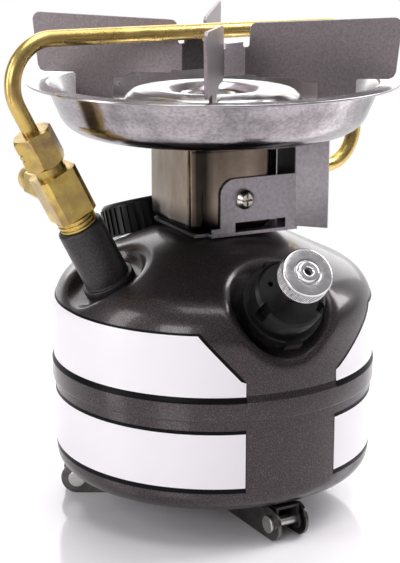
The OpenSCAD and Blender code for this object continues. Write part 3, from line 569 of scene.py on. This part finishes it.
def knob_skin():
    back = rounded([(2.55, 14.08), (4.0, 14.08), (4.0, 16.0), (7.0, 16.0), (7.45, 16.4)],
                   [0, 0.3, 0.2, 0.2, 0], 20)
    edge = np.array([(KNOB_R, s) for s in np.linspace(16.45, 20.35, 29)])
    front = rounded([(7.45, 20.4), (6.95, 20.95), (4.0, 20.95), (3.7, 20.75), (3.3, 20.75), (2.9, 21.6),
                     (1.5, 21.7), (1.15, 21.2), (1.15, 20.4), (0.0, 20.4)],
                    [0, 0.3, 0.1, 0.1, 0.2, 0.4, 0.3, 0.1, 0.1, 0], 20)
    path = np.concatenate([back, edge, front])
    n, a = len(path), circle(KNOB_SEG)
    on_edge = np.zeros(n)
    on_edge[len(back):len(back) + len(edge)] = 1
    s = np.repeat(path[None, :, 1], KNOB_SEG, 0)
    u, w = (a * KNURL_COUNT / (2 * np.pi))[:, None], s / KNURL_RISE
    r = np.repeat(path[None, :, 0], KNOB_SEG, 0)
    r = r - KNURL_DEPTH * on_edge[None, :] * np.maximum(groove(u + w), groove(u - w))
    x = unit(np.cross((0, 0, 1), PUMP_D))
    y = np.cross(PUMP_D, x)
    ray = np.cos(a)[:, None, None] * x + np.sin(a)[:, None, None] * y
    v = PUMP_P + s[..., None] * PUMP_D + r[..., None] * ray
    faces = grid(KNOB_SEG, n, wrap_rows=True, flip=True)
    o = put("pump_knob_skin", v.reshape(-1, 3) * MM, faces, alu, "pump_knob")
    o.data.materials.append(black.m)
    # Faces deep in the knurl grooves and at the bottom of the centre hole get black plastic as painted shade
    index = []
    for i in range(KNOB_SEG):
        deep = (r[i] + r[(i + 1) % KNOB_SEG]) / 2
        for k in range(n - 1):
            in_groove = on_edge[k] and (deep[k] + deep[k + 1]) / 2 < KNOB_R - KNURL_SHADE_DEPTH
            in_hole = k >= n - 3
            index.append(1 if in_groove or in_hole else 0)
    o.data.polygons.foreach_set("material_index", index)
    weld(o.data)
    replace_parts(o, "pump_knob")


knob_skin()


# Burner box with soft lower edges
def box_skin():
    soft, wall, lip, corner_n = 3.2, 0.6, 8, 13
    rows = [(soft - soft * math.sin(t), BOX_FOOT_Z + soft - soft * math.cos(t))
            for t in np.radians(np.linspace(0, 90, 9))]
    rows += [(0.0, z) for z in np.linspace(92.5, BOWL_FOOT_Z, 6)]
    rows += [(wall, BOWL_FOOT_Z), (wall, BOX_FOOT_Z + lip)]
    turn = Matrix.Rotation(BOX_TURN, 4, "Z")
    v = []
    for inset, z in rows:
        r = max(BOX_CORNER - inset, 0.8)
        for cx, cy, a0 in ((1, 1, 0), (-1, 1, 90), (-1, -1, 180), (1, -1, 270)):
            for a in np.radians(np.linspace(a0, a0 + 90, corner_n)):
                x = cx * (BOX_W / 2 - BOX_CORNER) + r * math.cos(a)
                y = cy * (BOX_D / 2 - BOX_CORNER) + r * math.sin(a) + (BOX_D - BOX_W) / 2
                v.append(turn @ Vector((x * MM, y * MM, z * MM)))
    n = 4 * corner_n
    faces = grid(len(rows), n, wrap_cols=True)
    faces.append(tuple(reversed(range(n))))
    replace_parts(put("burner_box_skin", v, faces, box_m), "burner_box")


box_skin()

# Pot support of bent sheets: each has two wings and a middle strip; outlines are distance and height
SHEET_T, WING_OFF, STRIP_OFF = 1.0, 3.8, 6.8
WING = [(9.8, 134.6), (13, 134.6), (13.4, 133.8), (25, 133.8), (27.5, 132.4), (31.5, 132.4), (31.5, 120.1),
        (33, 118.1), (37.5, 118.1), (40, 119.7), (43, 123.1), (43, 133.2), (43.6, 133.8), (52.6, 133.8),
        (54, 134.4), (54.7, 135.8), (56, 149.5), (55.9, 150.3), (55.5, 151.1), (54.9, 151.6), (54.2, 151.85),
        (53.5, 151.9), (13.4, 150.0), (12.6, 149.85), (12.0, 149.5), (11.6, 149.0), (11.4, 148.2),
        (11.2, 143.4), (10.8, 142.8), (9.8, 142.8)]
STRIP = [(-4.74, 134.6), (4.74, 134.6), (4.74, 142.8), (3.7, 142.8), (3.35, 143.2), (3.3, 144.4), (-3.3, 144.4),
         (-3.35, 143.2), (-3.7, 142.8), (-4.74, 142.8)]


def sheet(outline, place, verts, faces):
    """Adds a flat plate of an outline, its thickness centred, placed by a matrix."""
    k, n = len(verts), len(outline)
    for side in (-SHEET_T / 2, SHEET_T / 2):
        for x, z in outline:
            verts.append(place @ Vector((x * MM, side * MM, z * MM)))
    faces.append(tuple(k + i for i in range(n)))
    faces.append(tuple(k + n + i for i in reversed(range(n))))
    for i in range(n):
        j = (i + 1) % n
        faces.append((k + j, k + i, k + n + i, k + n + j))


def pot_support(name, turn, strip_mat):
    def spin(angle):
        return Matrix.Rotation(math.radians(angle), 4, "Z")

    def shift(x, y):
        return Matrix.Translation((x * MM, y * MM, 0))

    verts, faces = [], []
    sheet(WING, spin(turn) @ shift(0, -WING_OFF), verts, faces)
    sheet(WING, spin(turn) @ shift(WING_OFF, 0) @ spin(-90) @ Matrix.Scale(-1, 4, (0, 1, 0)), verts, faces)
    strip_from = len(faces)
    sheet(STRIP, spin(turn) @ shift(STRIP_OFF, -STRIP_OFF) @ spin(45), verts, faces)
    o = put(name + "_sheet", verts, faces, wing_m)
    o.data.materials.append(strip_mat.m)
    o.data.polygons.foreach_set("material_index", [int(i >= strip_from) for i in range(len(faces))])
    weld(o.data)
    bevel(o, 0.2, 60)
    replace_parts(o, name)


# The front support's middle strip gets the painted light copy, and the back support's strip the painted shade
# copy
pot_support("pot_support_front", -6, strip_painted_light)
pot_support("pot_support_back", 174, strip_painted_shade)

# Bare white label areas with black borders, laid on the wall and over the skirt's top
LABEL_COLS, LABEL_ROWS, LABEL_LIFT = 160, 40, 0.07
END_WIDE, END_THIN = 1.5, 0.2


def label(name, z0, z1, th0, th1, end, slant=None, R=UPPER_R, top=0.7, foot=1.5):
    """A patch between two directions in degrees; its framed end is th1 for end 1 and th0 for end -1."""
    zs = sorted(set(list(np.linspace(z0, z1, LABEL_ROWS)) + [z0 + foot, z1 - top]))
    v, mats = [], []
    for z in zs:
        a0, a1, wide = th0, th1, END_THIN
        if slant:
            slant_z, slant_deg = slant
            cut = slant_deg * max(0.0, (z - slant_z) / (z1 - slant_z))
            a0, a1 = (a0, a1 - cut) if end > 0 else (a0 + cut, a1)
            wide = END_WIDE if z > slant_z else END_THIN
        if end > 0:
            a = np.append(np.linspace(a0, a1 - wide, LABEL_COLS), a1)
        else:
            a = np.append(a0, np.linspace(a0 + wide, a1, LABEL_COLS))
        a = np.radians(a)
        level = np.full(LABEL_COLS + 1, z)
        r = np.full(LABEL_COLS + 1, R)
        if z > 47.5:
            for _ in range(8):
                off = tank_f(np.stack([r * np.cos(a), r * np.sin(a), level], -1))
                r = np.maximum(r - np.clip(off, -1, 1), R - 4)
        if 40 < z < SKIRT_TOP_Z:
            r = np.maximum(r, np.interp(z, [46.6, 48.6, SKIRT_TOP_Z], [SKIRT_R, 49.95, 49.2]))
        r = r + LABEL_LIFT
        v += list(np.stack([r * np.cos(a), r * np.sin(a), level], -1) * MM)
    border = LABEL_COLS - 1 if end > 0 else 0
    for z in ((lo_z + hi_z) / 2 for lo_z, hi_z in zip(zs[:-1], zs[1:])):
        mats += [int(i == border or z < z0 + foot or z > z1 - top) for i in range(LABEL_COLS)]
    o = put(name, v, grid(len(zs), LABEL_COLS + 1), white)
    o.data.materials.append(ink.m)
    o.data.polygons.foreach_set("material_index", mats)


LEFT_FROM, LEFT_END, RIGHT_START, RIGHT_TO = -215, -78.7, -43.5, 60
UPPER_BAND, LOWER_BAND = (46.4, 67.0), (18.6, 37.9)
label("label_upper_left", *UPPER_BAND, LEFT_FROM, LEFT_END, 1, (52.4, 15.4), foot=1.8)
label("label_lower_left", *LOWER_BAND, LEFT_FROM, LEFT_END, 1, None, LOWER_R, top=1.1)
label("label_upper_right", *UPPER_BAND, RIGHT_START, RIGHT_TO, -1, (52.0, 27.0), foot=1.8)
label("label_lower_right", *LOWER_BAND, RIGHT_START, RIGHT_TO, -1, None, LOWER_R, top=1.1)

# Camera matched to the photo
SENSOR, FOCAL_PX, PICTURE_PX = 36.0, 1486, 563
cam_data = bpy.data.cameras.new("camera")
cam_data.sensor_width = SENSOR
cam_data.lens = SENSOR * FOCAL_PX / PICTURE_PX
cam_data.clip_start, cam_data.clip_end = 0.01, 20
cam = bpy.data.objects.new("camera", cam_data)
cam.location = (0, -0.450, 0.1903)
cam.rotation_euler = (math.radians(90 - 15.07), 0, math.radians(0.51))
bpy.context.collection.objects.link(cam)
bpy.context.scene.camera = cam

# Pale floor that runs out to white for the camera, and to the rear for reflections; distances in metres
floor_m = Mat("floor_look")
floor_m.set(Base_Color=(0.88, 0.85, 0.88), Roughness=0.09, Specular_IOR_Level=0.75)
away = floor_m.new("ShaderNodeVectorMath", operation="LENGTH")
floor_m.feed(away.inputs[0], floor_m.co)
far = floor_m.span(away.outputs["Value"], 0.03, 0.22, smooth=True)
rear = floor_m.span(floor_m.split(floor_m.co)["Y"], 0.05, 0.3)
rays = floor_m.new("ShaderNodeLightPath").outputs
shown = floor_m.calc("MULTIPLY_ADD", rays["Is Glossy Ray"], rear, rays["Is Camera Ray"])
glow = floor_m.new("ShaderNodeEmission")
glow.inputs["Color"].default_value = (*WHITE, 1)
glow.inputs["Strength"].default_value = 1.0
blend = floor_m.new("ShaderNodeMixShader")
for socket, source in zip(blend.inputs, (floor_m.calc("MULTIPLY", far, shown), floor_m.b.outputs["BSDF"],
                                         glow.outputs["Emission"])):
    floor_m.feed(socket, source)
floor_m.feed(floor_m.t.nodes["Material Output"].inputs["Surface"], blend.outputs["Shader"])
floor = put("floor", [(-6, -6, 0), (6, -6, 0), (6, 6, 0), (-6, 6, 0)], [(0, 1, 2, 3)], floor_m, None, False)

# Dim sky that is white for the camera, and low at the rear for reflections
world = bpy.data.worlds.new("world")
bpy.context.scene.world = world
world.use_nodes = True
sky_w = Tree(world.node_tree)
rays = sky_w.new("ShaderNodeLightPath").outputs
aim = sky_w.split(sky_w.new("ShaderNodeTexCoord").outputs["Generated"])
sky = sky_w.ramp(sky_w.span(aim["Z"], -0.25, 0.7), [(0.0, (0.05, 0.05, 0.051)), (1.0, (0.34, 0.34, 0.3468))])
backdrop = sky_w.calc("MULTIPLY", sky_w.span(aim["Y"], 0.35, 0.85), sky_w.span(aim["Z"], 0.7, 0.3))
around = sky_w.mix(sky_w.calc("MULTIPLY", backdrop, rays["Is Glossy Ray"]), sky, WHITE)
background = sky_w.t.nodes["Background"]
sky_w.feed(background.inputs["Color"], sky_w.mix(rays["Is Camera Ray"], around, WHITE))
background.inputs["Strength"].default_value = 1.0


def lamp(name, loc, target, size, size_y, power):
    d = bpy.data.lights.new(name, "AREA")
    d.shape = "RECTANGLE"
    d.size, d.size_y = size, size_y
    d.energy = power
    o = bpy.data.objects.new(name, d)
    o.location = loc
    o.rotation_euler = (Vector(target) - Vector(loc)).to_track_quat("-Z", "Y").to_euler()
    bpy.context.collection.objects.link(o)


# Soft lamps: place, aim, width and height in metres, watts
lamp("key_top", (0.05, 0.0, 0.9), (0, 0, 0.08), 0.8, 0.6, 5.5)
lamp("left_strip", (-0.8, -0.30, 0.35), (0, 0, 0.08), 0.22, 0.8, 3.2)
lamp("right_strip", (0.62, 0.22, 0.55), (0, 0, 0.08), 0.3, 0.6, 5.5)
lamp("front_fill", (-0.55, -1.1, 0.5), (0, 0, 0.07), 0.45, 0.45, 4.2)
lamp("back_light", (0.0, 0.9, 0.5), (0, 0, 0.1), 1.2, 0.8, 5)

bpy.context.scene.view_settings.view_transform = "Standard"
